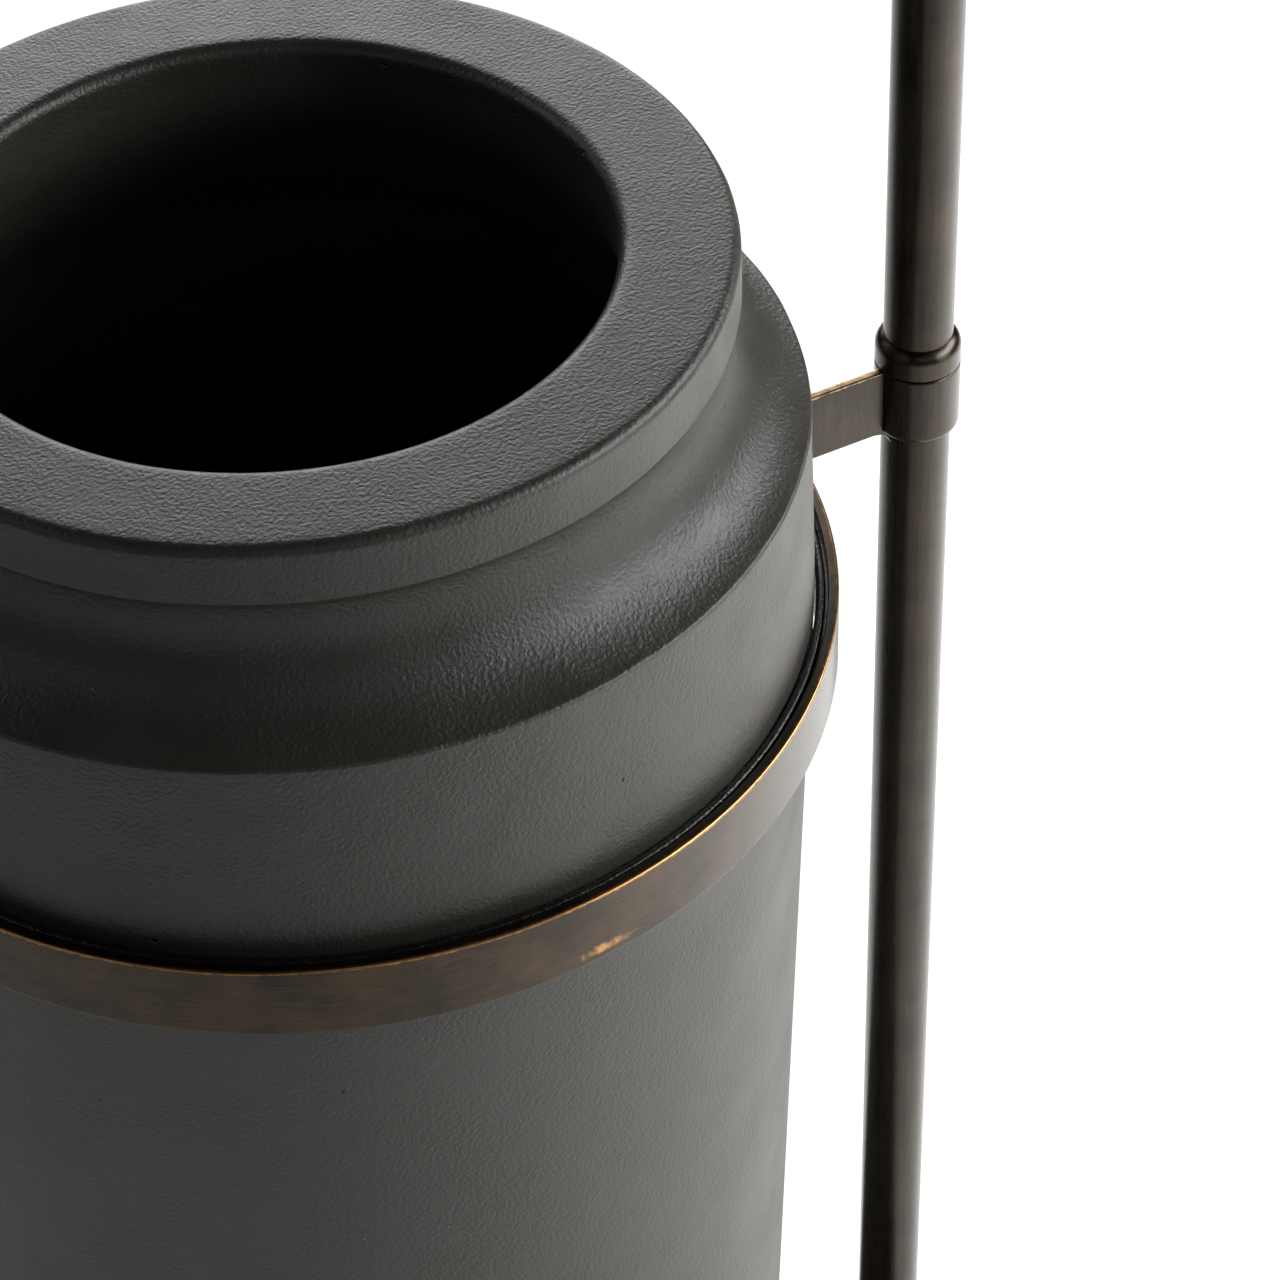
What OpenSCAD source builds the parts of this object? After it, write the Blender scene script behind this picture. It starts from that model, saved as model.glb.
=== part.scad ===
// Free-standing ash and litter bin: a cast vessel stands on a round base and is held upright by a
// hoop, which a short arm and a sleeve tie to a slim post. A steel liner with a bail lifts out.
// Origin: centre of the vessel's axis on the floor. +Z is up, and the post stands on +X.

/* [Hoop and arm] */
// Outer diameter of the hoop
hoop_d = 250; // [248:1:254]
// Height of the hoop's upper edge above the floor
hoop_z = 500; // [440:5:540]
// Height of the flat bar that hoop and arm are made of
bar_h = 19; // [12:1:25]
// Thickness of the flat bar
bar_t = 2.5; // [2:0.5:3.5]

/* [Post] */
// Distance from the vessel's axis to the post's axis
post_x = 168; // [160:1:175]
// Outer diameter of the post
post_d = 17.2; // [15:0.1:20]
// Wall thickness of the post and of the sleeve
tube_wall = 2; // [1.5:0.1:2.4]
// Height of the post's upper end above the floor
post_top_z = 690; // [620:5:800]

/* [Base] */
// Diameter of the base plate
base_d = 400; // [390:5:440]
// Thickness of the base plate
base_t = 12; // [12:1:16]
// Height of the rubber feet
foot_h = 6; // [5:1:10]
// Thickness of the mat under the vessel
mat_t = 3; // [2:1:5]

/* [Vessel] */
// Height of the rim above the hoop's upper edge
rim_rise = 98; // [90:1:110]
// Diameter of the mouth
mouth_d = 152; // [148:1:160]
// Diameter of the lip
lip_d = 205; // [200:1:208]
// Height of the lip's side
lip_h = 14.5; // [10:0.5:18]
// Height of the shoulder edge above the hoop's upper edge
shoulder_rise = 52; // [45:1:56]
// Diameter at the shoulder edge
shoulder_d = 236.4; // [232:0.2:238]
// Radius of the cove between shoulder and lip
cove_r = 24; // [20:1:30]
// Diameter at the girth, where the hoop sits
girth_d = 238.8; // [238:0.2:239.2]
// Diameter at the vessel's foot
vessel_foot_d = 211; // [200:1:220]
// Wall thickness of the casting
wall = 20; // [16:1:22]
// Thickness of the vessel's floor
floor_t = 30; // [20:1:35]

/* [Liner] */
// Outer diameter of the liner
liner_d = 124; // [118:1:126]
// Height of the liner
liner_h = 345; // [250:5:350]
// Sheet thickness of the liner
liner_t = 1.2; // [1:0.1:1.5]
// Diameter of the bail's wire
wire_d = 4; // [3.5:0.1:4.5]
// How far the bail's loop stands clear of the liner
bail_gap = 6.4; // [6.2:0.1:6.8]

/* [Hidden] */
$fn = 128;
fit = 0.05;               // radial clearance of a pin or tube in its hole
hoop_r = hoop_d / 2;
hoop_in = hoop_r - bar_t;
post_r = post_d / 2;
sleeve_r = post_r + tube_wall;
bore_r = post_r - tube_wall;
base_r = base_d / 2;
plate_z = foot_h + base_t;
edge_r = 2;               // rounding of the plate's upper edge

// post fixing
bolt_r = 5;
bolt_head_r = 8;
bolt_head_h = 5.8;
washer_t = 1.5;
washer_r = 10;
recess_r = 11;
recess_h = bolt_head_h + washer_t + 0.2;
insert_h = 25;
top_insert_h = 20;
flange_r = 24;
flange_h = 14;
stud_r = 4;
stud_h = 16;
finial_h = 10;
collar_h = 8.5;
collar_gap = 0.3;         // the groove between collar and sleeve
grub_r = 2;
grub_l = 1.9;

// feet
foot_r = 17;
foot_pcr = base_r - 30;   // radius of the circle that the feet stand on
foot_screw_r = 2.5;
foot_head_r = 4.8;
foot_head_h = 2.6;
foot_recess_h = 3.6;
foot_screw_l = 11;

// vessel, as radii and heights
gasket_gap = 0.3;
girth_r = girth_d / 2;
vessel_z = plate_z + mat_t;
vessel_floor_z = vessel_z + floor_t;
rim_z = hoop_z + rim_rise;
shoulder_z = hoop_z + shoulder_rise;
shoulder_r = shoulder_d / 2;
lip_r = lip_d / 2;
mouth_r = mouth_d / 2;
vessel_foot_r = vessel_foot_d / 2;
lip_foot_z = rim_z - lip_h;
cove_run = shoulder_r - lip_r;
cove_rise = lip_foot_z - shoulder_z;
cove_chord = norm([cove_run, cove_rise]);
cove_bulge = sqrt(cove_r * cove_r - cove_chord * cove_chord / 4);
cove_x = (shoulder_r + lip_r) / 2 + cove_bulge * cove_rise / cove_chord;
cove_z = (shoulder_z + lip_foot_z) / 2 + cove_bulge * cove_run / cove_chord;
neck_z = rim_z - 16;      // where the straight mouth ends
throat_z = rim_z - 60;    // where the inside has reached its full width
lip_round = 2;
mouth_round = 2.5;
foot_round = 8;

// liner and bail
liner_r = liner_d / 2;
seat_h = 4;
seat_lip_h = 12;
liner_z = vessel_floor_z + seat_h;
liner_top_z = liner_z + liner_h;
rim_bead_r = 2.2;
pivot_z = liner_top_z - 22;
ear_t = 1.5;
ear_w = 26;
ear_h = 24;
boss_r = 5.5;
boss_y = liner_r + fit + ear_t + 2.9;
wire_r = wire_d / 2;
bail_r = liner_r + bail_gap + wire_r;
bail_drop = 21.5;         // the bail's angle below level where it rests on the liner
rivet_r = 1.6;
rivet_x = 9;
rivet_head_r = 3;

// a tube from z to z + h
module tube(r_out, r_in, z, h) {
    translate([0, 0, z]) difference() {
        cylinder(r = r_out, h = h);
        translate([0, 0, -1]) cylinder(r = r_in, h = h + 2);
    }
}

// children at each of the four foot positions
module at_feet() {
    for (a = [45 : 90 : 315]) rotate([0, 0, a]) translate([foot_pcr, 0, 0]) children();
}

// children at the post's axis
module at_post() {
    translate([post_x, 0, 0]) children();
}

// a rod along +X that starts at x
module rod_x(r, x, l, z) {
    translate([x, 0, z]) rotate([0, 90, 0]) cylinder(r = r, h = l, $fn = 48);
}

// a disc profile, radius r from z0 to z1, whose upper outer edge is rounded
module rounded_disc(r, z0, z1, round_r) {
    translate([0, z0]) square([r - round_r, z1 - z0]);
    translate([0, z0]) square([r, z1 - z0 - round_r]);
    translate([r - round_r, z1 - round_r]) circle(r = round_r, $fn = 48);
}

module base_plate() {
    color("#3a3129") difference() {
        rotate_extrude() rounded_disc(base_r, foot_h, plate_z, edge_r);
        at_post() translate([0, 0, foot_h - 1]) cylinder(r = recess_r, h = recess_h + 1);
        at_post() cylinder(r = bolt_r + 0.5, h = plate_z + 1);
        at_feet() translate([0, 0, foot_h - 1]) cylinder(r = foot_screw_r + fit, h = 10);
    }
}

module feet() {
    color("#1c1c1c") at_feet() difference() {
        cylinder(r = foot_r, h = foot_h);
        translate([0, 0, -1]) cylinder(r = foot_head_r + 0.4, h = foot_recess_h + 1);
        cylinder(r = foot_screw_r + fit, h = foot_h + 1);
    }
}

module foot_screws() {
    color("#8c8c8c") at_feet() translate([0, 0, foot_recess_h]) {
        translate([0, 0, -foot_head_h]) difference() {
            cylinder(r = foot_head_r, h = foot_head_h);
            translate([0, 0, -1]) cylinder(r = 1.7, h = 2.5, $fn = 6);
        }
        cylinder(r = foot_screw_r, h = foot_screw_l - foot_head_h);
    }
}

module base_mat() {
    color("#202020") translate([0, 0, plate_z]) cylinder(r = vessel_foot_r - foot_round - 1, h = mat_t);
}

module post_flange() {
    color("#4a3a2c") at_post() difference() {
        rotate_extrude() rounded_disc(flange_r, plate_z, plate_z + flange_h, 5);
        cylinder(r = post_r + fit, h = plate_z + flange_h + 1);
    }
}

module post() {
    color("#3f3830") at_post() tube(post_r, bore_r, plate_z, post_top_z - plate_z);
}

module foot_insert() {
    color("#9a8b5c") at_post() tube(bore_r - fit, bolt_r + fit, plate_z, insert_h);
}

module post_bolt() {
    color("#8c8c8c") at_post() translate([0, 0, foot_h + recess_h - washer_t]) {
        translate([0, 0, -bolt_head_h]) difference() {
            cylinder(r = bolt_head_r, h = bolt_head_h);
            translate([0, 0, -1]) cylinder(r = 4, h = 4.5, $fn = 6);
        }
        cylinder(r = bolt_r, h = washer_t + base_t - recess_h + insert_h - 4);
    }
}

module post_washer() {
    color("#a0a0a0") at_post() tube(washer_r, bolt_r + 0.4, foot_h + recess_h - washer_t, washer_t);
}

module top_insert() {
    color("#9a8b5c") at_post() tube(bore_r - fit, stud_r + fit, post_top_z - top_insert_h, top_insert_h);
}

module finial() {
    color("#4a3a2c") at_post() {
        rotate_extrude() rounded_disc(sleeve_r, post_top_z, post_top_z + finial_h, 4.5);
        translate([0, 0, post_top_z - stud_h]) cylinder(r = stud_r, h = stud_h);
    }
}

module stop_collar() {
    nose = 2 * tube_wall;
    color("#4a3a2c") at_post() difference() {
        translate([0, 0, hoop_z + collar_gap]) rotate_extrude() {
            square([sleeve_r, collar_h - nose]);
            translate([0, collar_h - nose]) intersection() {
                square([sleeve_r, nose]);
                translate([sleeve_r - nose, 0]) circle(r = nose, $fn = 64);
            }
        }
        translate([0, 0, hoop_z - 1]) cylinder(r = post_r + fit, h = collar_h + 3);
        rod_x(grub_r + fit, 0, sleeve_r + 1, hoop_z + 3);
    }
}

module collar_screw() {
    color("#8c8c8c") at_post() grub(hoop_z + 3);
}

// a grub screw along +X that bears on the post
module grub(z) {
    difference() {
        rod_x(grub_r, post_r, grub_l, z);
        translate([post_r + grub_l - 1.2, 0, z]) rotate([0, 90, 0]) cylinder(r = 1, h = 2, $fn = 6);
    }
}

module sleeve() {
    color("#4a3a2c") at_post() difference() {
        translate([0, 0, hoop_z]) mirror([0, 0, 1]) rotate_extrude() rounded_disc(sleeve_r, 0, bar_h, 1.9);
        translate([0, 0, hoop_z - bar_h - 1]) cylinder(r = post_r + fit, h = bar_h + 2);
        rod_x(grub_r + fit, 0, sleeve_r + 1, hoop_z - bar_h / 2);
    }
}

module sleeve_screw() {
    color("#8c8c8c") at_post() grub(hoop_z - bar_h / 2);
}

module arm() {
    color("#5a4630") difference() {
        translate([hoop_r - 1, -bar_t / 2, hoop_z - bar_h]) cube([post_x - hoop_r, bar_t, bar_h]);
        translate([0, 0, hoop_z - bar_h - 1]) cylinder(r = hoop_r + 0.02, h = bar_h + 2);
        at_post() translate([0, 0, hoop_z - bar_h - 1]) cylinder(r = sleeve_r + 0.02, h = bar_h + 2);
    }
}

module hoop() {
    color("#6b5030") tube(hoop_r, hoop_in, hoop_z - bar_h, bar_h);
}

module gasket() {
    bead = (hoop_in - fit - girth_r - gasket_gap) / 2;
    color("#101010") rotate_extrude() {
        translate([girth_r + gasket_gap, hoop_z - bar_h + 1]) square([2 * bead, bar_h - 1.5 - bead]);
        translate([girth_r + gasket_gap + bead, hoop_z - 0.5 - bead]) circle(r = bead, $fn = 32);
    }
}

// outside radius of the casting between its foot and the shoulder edge
function side_r(z) =
    z > hoop_z ? girth_r + (shoulder_r - girth_r) * pow((z - hoop_z) / shoulder_rise, 1.3)
               : girth_r + (vessel_foot_r - girth_r) * (hoop_z - z) / (hoop_z - vessel_z);

// points on an arc about [x, z], from angle a0 to angle a1
function arc(x, z, r, a0, a1, n) =
    [for (i = [0 : n]) let (a = a0 + (a1 - a0) * i / n) [x + r * cos(a), z + r * sin(a)]];

// where the cove starts and ends, as angles about its centre
cove_start = 360 + atan2(shoulder_z - cove_z, shoulder_r - cove_x);
cove_end = atan2(lip_foot_z - cove_z, lip_r - cove_x);

module vessel() {
    outside = concat(
        [[0, vessel_z], [vessel_foot_r - foot_round, vessel_z]],
        arc(vessel_foot_r - foot_round, vessel_z + foot_round, foot_round, -90, 0, 8),
        [[side_r(hoop_z), hoop_z]],
        [for (k = [0.25 : 0.25 : 0.75]) [side_r(hoop_z + k * shoulder_rise), hoop_z + k * shoulder_rise]],
        arc(cove_x, cove_z, cove_r, cove_start, cove_end, 16),
        arc(lip_r - lip_round, rim_z - lip_round, lip_round, 0, 90, 8),
        arc(mouth_r + mouth_round, rim_z - mouth_round, mouth_round, 90, 180, 6));
    inside = [
        [mouth_r, neck_z],
        [side_r(throat_z) - wall, throat_z],
        [side_r(hoop_z) - wall, hoop_z],
        [side_r(vessel_floor_z) - wall, vessel_floor_z + 12],
        [side_r(vessel_floor_z) - wall - 10, vessel_floor_z],
        [0, vessel_floor_z]];
    color("#4b4a47") rotate_extrude() polygon(concat(outside, inside));
}

module liner_seat() {
    color("#202020") {
        translate([0, 0, vessel_floor_z]) cylinder(r = liner_r + 8, h = seat_h);
        tube(liner_r + 7, liner_r + 1, vessel_floor_z + seat_h, seat_lip_h - seat_h);
    }
}

module liner() {
    color("#2a2a2a") difference() {
        union() {
            translate([0, 0, liner_z]) cylinder(r = liner_r, h = liner_h - rim_bead_r);
            translate([0, 0, liner_top_z - rim_bead_r]) rotate_extrude()
                translate([liner_r + 0.6, 0]) circle(r = rim_bead_r, $fn = 32);
        }
        translate([0, 0, liner_z + liner_t]) cylinder(r = liner_r - liner_t, h = liner_h);
        at_rivets() cylinder(r = rivet_r + fit, h = 8, $fn = 32);
    }
}

// children at the four rivets, with their Z pointing outwards from 4 mm inside the liner's skin
module at_rivets() {
    for (s = [1, -1], x = [-rivet_x, rivet_x])
        rotate([0, 0, s * 90 + asin(x / liner_r)])
            translate([liner_r - 4, 0, pivot_z]) rotate([0, 90, 0]) children();
}

module liner_ears() {
    color("#3a3a3a") for (s = [0, 180]) rotate([0, 0, s]) difference() {
        union() {
            intersection() {
                tube(liner_r + fit + ear_t, liner_r + fit, pivot_z - ear_h / 2, ear_h);
                translate([-ear_w / 2, 0, pivot_z - ear_h]) cube([ear_w, liner_d, 2 * ear_h]);
            }
            translate([0, liner_r + ear_t / 2, pivot_z]) rotate([-90, 0, 0])
                cylinder(r = boss_r, h = boss_y - liner_r - ear_t / 2, $fn = 64);
        }
        translate([0, liner_r + ear_t, pivot_z]) rotate([-90, 0, 0])
            cylinder(r = wire_r + fit, h = 20, $fn = 64);
        at_rivets() cylinder(r = rivet_r + fit, h = 12, $fn = 32);
    }
}

module ear_rivets() {
    skin = 4 + ear_t + fit;
    color("#8c8c8c") at_rivets() {
        translate([0, 0, 1.6]) cylinder(r = rivet_r, h = skin - 1.4, $fn = 32);
        translate([0, 0, 1.4]) cylinder(r = rivet_head_r, h = 1.2, $fn = 32);
        translate([0, 0, skin + 0.1]) cylinder(r = rivet_head_r, h = 1.2, $fn = 32);
    }
}

module bail() {
    color("#9a9a9a") translate([0, 0, pivot_z]) rotate([0, -bail_drop, 0]) {
        rotate([0, 0, 90]) rotate_extrude(angle = 180) translate([bail_r, 0]) circle(r = wire_r, $fn = 32);
        for (s = [1, -1]) {
            translate([0, s * bail_r, 0]) sphere(r = wire_r, $fn = 32);
            translate([0, s * bail_r, 0]) rotate([s * 90, 0, 0])
                cylinder(r = wire_r, h = bail_r - liner_r - ear_t - 0.4, $fn = 32);
        }
    }
}

base_plate();
feet();
foot_screws();
base_mat();
post_flange();
post();
foot_insert();
post_bolt();
post_washer();
top_insert();
finial();
stop_collar();
collar_screw();
sleeve();
sleeve_screw();
arm();
hoop();
gasket();
vessel();
liner_seat();
liner();
liner_ears();
ear_rivets();
bail();
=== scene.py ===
"""Ash and litter bin: a cast stone-composite vessel in a patinated bronze hoop, on a slim post.

Lengths are in metres. Most pieces are solids of revolution: an outline is a list of (radius, height)
points, and a point of the surface is (r cos t, r sin t, z) for every outline point and turn angle t.
Outlines run anticlockwise, up the outside and down the inside, so that faces point outwards.
"""

import math

import bpy
import numpy as np
from mathutils import Matrix, Vector


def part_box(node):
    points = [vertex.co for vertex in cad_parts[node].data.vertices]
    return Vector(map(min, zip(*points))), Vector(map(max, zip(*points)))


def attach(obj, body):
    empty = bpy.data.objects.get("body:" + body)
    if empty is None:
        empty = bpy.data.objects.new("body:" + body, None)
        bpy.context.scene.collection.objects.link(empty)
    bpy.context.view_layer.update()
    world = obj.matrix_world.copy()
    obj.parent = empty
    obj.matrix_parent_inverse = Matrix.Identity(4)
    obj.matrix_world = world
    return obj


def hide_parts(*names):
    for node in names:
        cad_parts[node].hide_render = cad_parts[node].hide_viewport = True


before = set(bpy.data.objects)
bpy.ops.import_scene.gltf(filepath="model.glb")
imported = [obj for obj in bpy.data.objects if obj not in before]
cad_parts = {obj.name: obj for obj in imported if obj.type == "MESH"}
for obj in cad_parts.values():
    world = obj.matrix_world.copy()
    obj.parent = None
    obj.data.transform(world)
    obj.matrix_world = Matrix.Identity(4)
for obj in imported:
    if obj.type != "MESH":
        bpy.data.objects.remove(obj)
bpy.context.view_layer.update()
mm = 0.001


# ---------------------------------------------------------------- sizes read from the frame
def heights(node):
    """Lowest and highest point of a CAD node."""
    low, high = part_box(node)
    return low.z, high.z


def middle_x(node):
    """X of a CAD node's middle."""
    low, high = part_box(node)
    return (low.x + high.x) / 2


def half_width(node):
    """Half of a CAD node's width along Y, which is a round node's radius."""
    low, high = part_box(node)
    return (high.y - low.y) / 2


hoop_bottom, hoop_top = heights("hoop")
hoop_r = half_width("hoop")
bar_t = 2 * half_width("arm")
hoop_bore = hoop_r - bar_t
post_x = middle_x("post")
post_r = half_width("post")
tube_wall = half_width("sleeve") - post_r
sleeve_r = half_width("sleeve")
vessel_bottom, rim = heights("vessel")
girth_r = half_width("vessel")
plate_bottom, plate_top = heights("base_plate")
plate_r = half_width("base_plate")
seat_bottom, seat_top = heights("liner_seat")
liner_bottom, liner_top = heights("liner")
pivot = sum(heights("ear_rivets")) / 2
fit = 0.05 * mm


# ---------------------------------------------------------------- outlines
def unit(v):
    return v / np.linalg.norm(v)


def arc(centre, radius, start, end, count):
    """Points of a circle from angle start to angle end, in degrees."""
    a = np.radians(np.linspace(start, end, count))
    return np.column_stack([centre[0] + radius * np.cos(a), centre[1] + radius * np.sin(a)])


def eased_corner(before, corner, after, radius, count):
    """The arc of that radius that touches both sides of a corner, from one touching point to the other."""
    u, v = unit(before - corner), unit(after - corner)
    half = math.acos(np.clip(u @ v, -1, 1)) / 2
    centre = corner + unit(u + v) * radius / math.sin(half)
    start = corner + u * radius / math.tan(half) - centre
    end = corner + v * radius / math.tan(half) - centre
    a = math.atan2(start[1], start[0])
    turn = (math.atan2(end[1], end[0]) - a + math.pi) % (2 * math.pi) - math.pi
    angles = a + turn * np.linspace(0, 1, count)
    return centre + radius * np.column_stack([np.cos(angles), np.sin(angles)])


def eased(corners, closed, count=7):
    """An outline through corners given as (x, y, rounding): each corner becomes an arc of its rounding."""
    corners = np.array(corners, float)
    points = []
    for k, rounding in enumerate(corners[:, 2]):
        here = corners[k, :2]
        inside = closed or 0 < k < len(corners) - 1
        if rounding > 0 and inside:
            after = corners[(k + 1) % len(corners), :2]
            points.append(eased_corner(corners[k - 1, :2], here, after, rounding, count))
        else:
            points.append(here[None])
    return np.vstack(points)


def filled(outline, step, closed):
    """The same outline with points added, so that no stretch is longer than step."""
    ends = np.roll(outline, -1, 0) if closed else outline[1:]
    stretches = [np.linspace(p, q, max(1, math.ceil(np.linalg.norm(q - p) / step)), endpoint=False)
                 for p, q in zip(outline, ends)]
    return np.vstack(stretches if closed else stretches + [outline[-1:]])


# ---------------------------------------------------------------- surfaces
def revolve(outline, steps, x=0.0, y=0.0):
    """Grid of points (x + r cos t, y + r sin t, z): a row for each outline point, a column for each t."""
    t = np.linspace(0, 2 * math.pi, steps, endpoint=False)
    r, z = outline[:, :1], outline[:, 1:]
    return np.stack([x + r * np.cos(t), y + r * np.sin(t), z + 0 * t], -1)


def skin(grid, closed):
    """Vertices and faces over a grid whose columns run round. Rows join up end to end when closed.

    A first or last row that lies in one point becomes a pole, and the faces there are triangles.
    Faces are rows of four vertex numbers, and a triangle's fourth number is -1.
    """
    rows, columns = grid.shape[:2]
    number = np.arange(rows * columns).reshape(rows, columns)
    for row in (0, rows - 1):
        if np.ptp(grid[row], axis=0).max() < 1e-9:
            number[row] = number[row, 0]
    used, number = np.unique(number, return_inverse=True)
    number = number.reshape(rows, columns)
    low = number if closed else number[:-1]
    high = np.roll(number, -1, 0) if closed else number[1:]
    faces = np.stack([low, np.roll(low, -1, 1), np.roll(high, -1, 1), high], -1).reshape(-1, 4)
    foot_pole = faces[:, 0] == faces[:, 1]
    faces[foot_pole] = np.column_stack([faces[foot_pole][:, [0, 2, 3]], np.full(foot_pole.sum(), -1)])
    head_pole = faces[:, 2] == faces[:, 3]
    faces[head_pole, 3] = -1
    return grid.reshape(-1, 3)[used], faces


def capped(grid):
    """The same grid with a pole added in the middle of its first row and of its last row."""
    def pole(row):
        return np.broadcast_to(row.mean(0), row.shape)[None]
    return np.concatenate([pole(grid[0]), grid, pole(grid[-1])])


def make_piece(name, skins, material, sharp=40):
    """One object from a list of skins, smooth except where faces meet at more than sharp degrees."""
    counts = np.cumsum([0] + [len(vertices) for vertices, _ in skins])
    vertices = np.vstack([vertices for vertices, _ in skins])
    faces = np.vstack([np.where(faces < 0, -1, faces + start) for (_, faces), start in zip(skins, counts)])
    corners = np.where(faces[:, 3] < 0, 3, 4)
    loops = faces[faces >= 0]
    mesh = bpy.data.meshes.new(name)
    mesh.vertices.add(len(vertices))
    mesh.vertices.foreach_set("co", vertices.astype(np.float32).ravel())
    mesh.loops.add(len(loops))
    mesh.loops.foreach_set("vertex_index", loops.astype(np.int32))
    mesh.polygons.add(len(faces))
    mesh.polygons.foreach_set("loop_start", np.concatenate([[0], np.cumsum(corners)[:-1]]).astype(np.int32))
    mesh.update(calc_edges=True)
    mesh.validate()
    mesh.materials.append(material)
    piece = bpy.data.objects.new(name, mesh)
    bpy.context.scene.collection.objects.link(piece)
    smooth(piece, sharp)
    return piece


def smooth(piece, sharp=40):
    """Smooth shading, with edges sharper than that many degrees left crisp."""
    piece.data.shade_smooth()
    piece.data.set_sharp_from_angle(angle=math.radians(sharp))


def rod(radius, start, end, steps=48):
    """Skin of a plain rod between two points."""
    start, end = np.array(start, float), np.array(end, float)
    along = unit(end - start)
    side = unit(np.cross(along, [0.3, 1, 0.2]))
    up = np.cross(along, side)
    t = np.linspace(0, 2 * math.pi, steps, endpoint=False)[:, None]
    ring = radius * (np.cos(t) * side + np.sin(t) * up)
    return skin(capped(np.stack([start + ring, end + ring])), False)


def drill(piece, skins):
    """Cuts closed skins out of a piece, and keeps the result as its mesh."""
    cutter = make_piece("cutter", skins, piece.data.materials[0])
    modifier = piece.modifiers.new("drill", "BOOLEAN")
    modifier.operation = "DIFFERENCE"
    modifier.solver = "EXACT"
    modifier.object = cutter
    graph = bpy.context.evaluated_depsgraph_get()
    whole = piece.data
    cut = bpy.data.meshes.new_from_object(piece.evaluated_get(graph))
    piece.modifiers.clear()
    piece.data = cut
    cut.name = piece.name
    bpy.data.meshes.remove(whole)
    bpy.data.objects.remove(cutter)
    smooth(piece)


def places_of(piece):
    """A piece's vertex places as columns x, y, z."""
    co = np.empty(3 * len(piece.data.vertices), np.float32)
    piece.data.vertices.foreach_get("co", co)
    return co.reshape(-1, 3).T.astype(float)


def rub(piece, worn):
    """Stores how far the patina is rubbed away at each vertex, 0 to 1, as the attribute rubbed."""
    attribute = piece.data.attributes.new("rubbed", "FLOAT", "POINT")
    attribute.data.foreach_set("value", np.clip(worn, 0, 1).astype(np.float32))


def near_edge(distance, width):
    """1 on an edge, falling to 0 at that distance, with a soft shoulder."""
    t = np.clip(1 - distance / width, 0, 1)
    return t * t * (3 - 2 * t)


def ripple(x, y, z, wavelength, seed):
    """Smooth uneven waves, about -1 to 1: the mean of 24 plane waves of random direction and phase."""
    draw = np.random.default_rng(seed)
    total = np.zeros_like(x)
    for _ in range(24):
        direction = unit(draw.normal(size=3))
        phase = draw.uniform(0, 2 * math.pi)
        length = wavelength * draw.uniform(0.7, 1.5)
        along = direction[0] * x + direction[1] * y + direction[2] * z
        total += np.sin(2 * math.pi * along / length + phase)
    return total / math.sqrt(24)


# ---------------------------------------------------------------- materials
def linear(hex_colour):
    """Linear RGBA from an sRGB hex colour."""
    channels = [int(hex_colour[k:k + 2], 16) / 255 for k in (1, 3, 5)]
    return [c / 12.92 if c <= 0.04045 else ((c + 0.055) / 1.055) ** 2.4 for c in channels] + [1]


def add(tree, kind, inputs=None, **settings):
    """Adds a node: settings are its own choices, inputs gives each socket a value or another's output."""
    made = tree.nodes.new(kind)
    for key, value in settings.items():
        setattr(made, key, value)
    for key, value in (inputs or {}).items():
        if isinstance(value, bpy.types.NodeSocket):
            tree.links.new(value, made.inputs[key])
        else:
            made.inputs[key].default_value = value
    return made


def start_material(name, **sockets):
    """A material, its tree, its shader with constant sockets set, and its Object coordinates."""
    material = bpy.data.materials.new(name)
    material.use_nodes = True
    tree = material.node_tree
    tree.nodes.clear()
    shader = add(tree, "ShaderNodeBsdfPrincipled")
    for key, value in sockets.items():
        shader.inputs[key.replace("_", " ")].default_value = value
    output = add(tree, "ShaderNodeOutputMaterial")
    tree.links.new(shader.outputs["BSDF"], output.inputs["Surface"])
    place = add(tree, "ShaderNodeTexCoord").outputs["Object"]
    return material, tree, shader, place


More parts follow.
